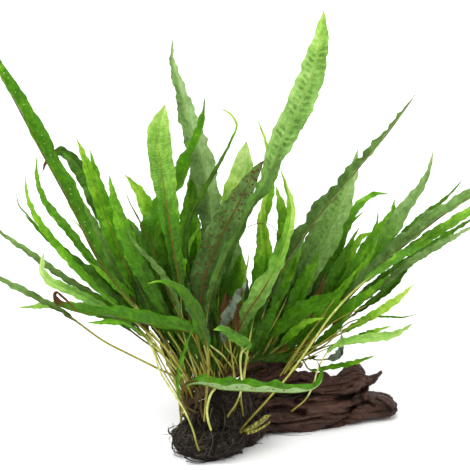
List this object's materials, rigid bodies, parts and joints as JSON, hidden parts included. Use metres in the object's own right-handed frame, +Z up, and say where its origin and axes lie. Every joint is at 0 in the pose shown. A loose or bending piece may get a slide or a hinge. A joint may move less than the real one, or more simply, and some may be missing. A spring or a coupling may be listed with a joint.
{
  "type": "java fern on driftwood",
  "caption": "Fan of narrow lance-shaped fern fronds on thin stalks, rising from a creeping rhizome and a root mat that grip forked driftwood; planting for an aquarium.",
  "frame": {"origin": "on the flat underside of the driftwood, below the root mat, at the height of the surface that the wood rests on", "axes": "+X along the front of the plant towards the driftwood's forked end, +Y away from the front, +Z up"},
  "size_m": [0.2883, 0.1574, 0.2534],
  "materials": {
    "driftwood": "dark red-brown soaked wood with deep lengthwise grooves, matt with a grey sheen",
    "roots": "near-black matted root hairs, matt",
    "rhizome": "brown scaly creeping stem with yellow-green young tips, matt",
    "lime_frond": "young yellow-green leaf, satin, translucent at the edge",
    "green_frond": "mid-green quilted leaf, satin, paler cross veins",
    "dark_frond": "old deep green leaf with a red-brown midrib, satin",
    "grey_frond": "grey-green leaf seen mostly from its dull underside, matt",
    "spore_frond": "dull green underside with rows of red-brown spore spots, matt",
    "withered_frond": "withered brown leaf, matt"
  },
  "bodies": {
    "root": {"arched_lime_frond": "lime_frond", "arching_right_frond": "green_frond", "back_centre_frond": "dark_frond", "back_left_frond": "green_frond", "back_right_frond": "green_frond", "bent_front_frond": "green_frond", "big_diagonal_frond": "dark_frond", "bright_right_frond": "lime_frond", "broad_back_frond": "grey_frond", "broad_lime_frond": "lime_frond", "centre_inner_frond": "green_frond", "centre_lime_frond": "lime_frond", "centre_mid_frond": "green_frond", "centre_right_frond": "lime_frond", "curled_left_frond": "dark_frond", "dark_centre_frond": "dark_frond", "dark_left_frond": "dark_frond", "dark_right_frond": "green_frond", "decayed_frond": "withered_frond", "diagonal_dark_frond": "dark_frond", "driftwood_log": "driftwood", "driftwood_lower_lobe": "driftwood", "driftwood_upper_spur": "driftwood", "drooping_front_frond": "green_frond", "far_left_frond": "dark_frond", "front_curl_frond": "green_frond", "front_left_frond": "green_frond", "grey_left_frond": "grey_frond", "hooked_right_frond": "green_frond", "inner_left_frond": "green_frond", "inner_right_frond": "dark_frond", "left_mid_frond": "green_frond", "left_slim_frond": "green_frond", "left_under_frond": "grey_frond", "lime_left_frond": "lime_frond", "lime_low_left_frond": "lime_frond", "long_right_frond": "grey_frond", "long_stalked_left_frond": "grey_frond", "low_bright_frond": "green_frond", "low_left_blade": "green_frond", "low_lime_right_frond": "lime_frond", "low_mid_frond": "green_frond", "low_right_frond": "lime_frond", "lowest_right_frond": "green_frond", "pale_right_frond": "grey_frond", "rhizome": "rhizome", "right_blade_frond": "green_frond", "root_mat": "roots", "short_low_left_frond": "green_frond", "slim_centre_frond": "lime_frond", "slim_far_right_frond": "dark_frond", "slim_lime_left_frond": "lime_frond", "small_dark_right_frond": "dark_frond", "spore_frond": "spore_frond", "tall_centre_frond": "grey_frond", "tall_right_frond": "green_frond", "thin_hook_frond": "green_frond", "wavy_left_frond": "green_frond", "withered_right_frond": "withered_frond", "young_rhizome_tip": "rhizome"}
  },
  "joints": []
}
